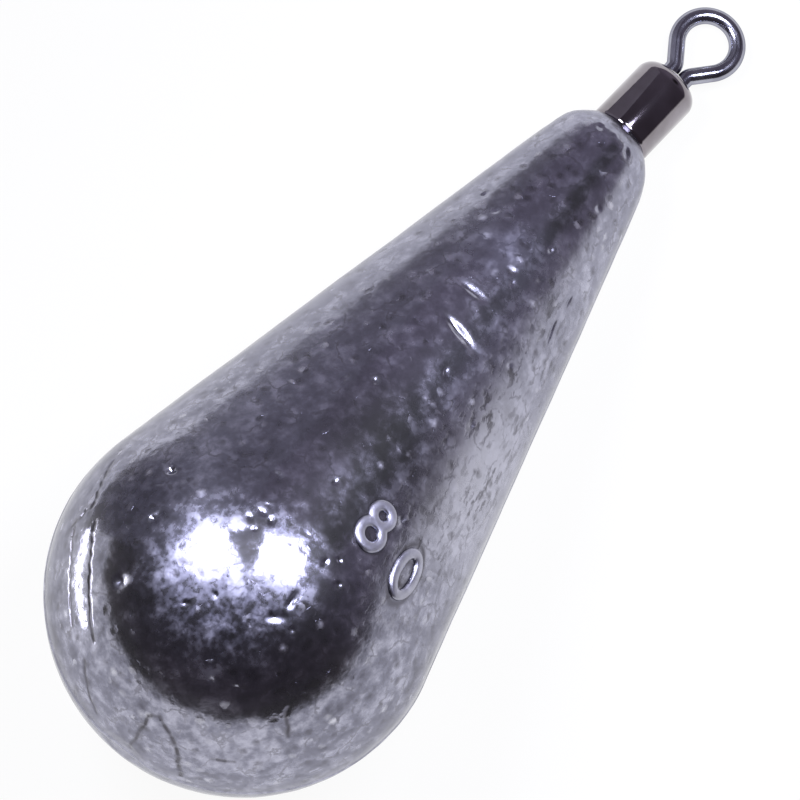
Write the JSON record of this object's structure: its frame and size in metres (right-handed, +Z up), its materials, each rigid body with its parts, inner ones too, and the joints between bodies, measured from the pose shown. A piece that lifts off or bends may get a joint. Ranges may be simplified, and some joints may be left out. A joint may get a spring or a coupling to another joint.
{
  "type": "fishing sinker",
  "caption": "Pear-shaped cast-lead fishing sinker with a barrel swivel cast into its narrow end and a wire line eye that turns freely.",
  "frame": {"origin": "on the table, under the middle of the overall box of the sinker lying on its side", "axes": "+X from the bulb towards the line eye along the table, +Z up from the table, +Y to the left of +X"},
  "size_m": [0.051, 0.0206, 0.0205],
  "materials": {
    "lead": "satin",
    "barrel_plating": "gloss",
    "eye_wire": "gloss"
  },
  "bodies": {
    "weight": {"lead_weight": "lead", "swivel_barrel": "barrel_plating", "anchor_eye": "eye_wire"},
    "eye": {"line_eye": "eye_wire"}
  },
  "joints": [
    {"name": "eye_spin", "type": "hinge", "parent": "weight", "child": "eye", "pos_m": [0.01801, -0.00032, 0.00226], "axis": [0.9686, -0.0872, -0.2328], "continuous": true}
  ]
}
